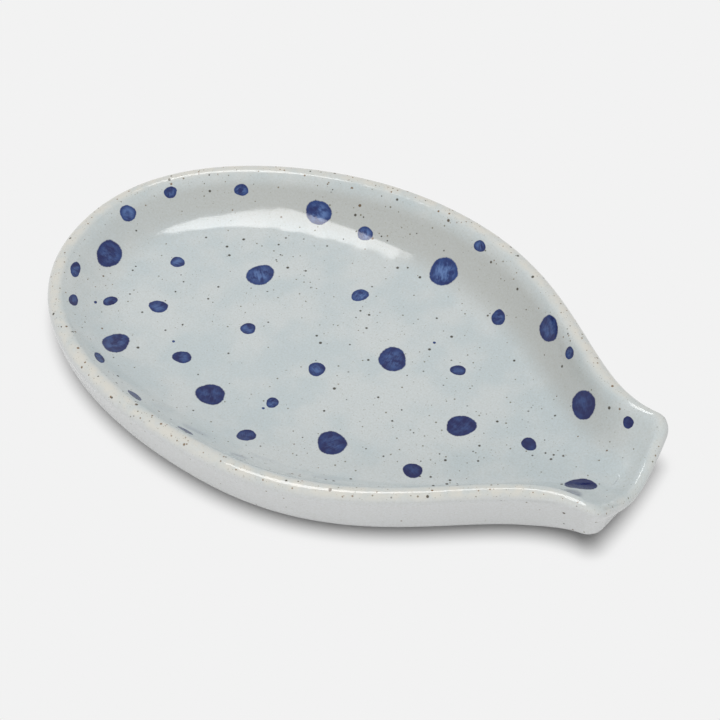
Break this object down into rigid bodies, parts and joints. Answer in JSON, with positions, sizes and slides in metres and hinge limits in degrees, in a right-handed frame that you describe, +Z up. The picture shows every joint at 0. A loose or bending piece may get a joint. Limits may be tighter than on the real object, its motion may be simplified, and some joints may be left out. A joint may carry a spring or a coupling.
{
  "type": "spoon rest",
  "caption": "Pear-shaped glazed stoneware spoon rest with a hollow well, an open lip between raised ears and a brushed cobalt dot pattern.",
  "frame": {"origin": "on the table, below the middle of the dish's length and width", "axes": "+X along the dish to its open lip, +Y across it, +Z up"},
  "size_m": [0.24, 0.153, 0.0238],
  "materials": {
    "stoneware": "bare fired clay, matt and slightly gritty",
    "pale_glaze": "glossy pale blue-grey glaze, warmer and speckled with iron at the rim",
    "cobalt_glaze": "glossy brushed cobalt, lighter in the middle of each spot"
  },
  "bodies": {
    "root": {"clay_body": "stoneware", "glaze": "pale_glaze", "base_glaze": "pale_glaze", "large_cobalt_spots": "cobalt_glaze", "small_cobalt_spots": "cobalt_glaze", "cobalt_specks": "cobalt_glaze"}
  },
  "joints": []
}
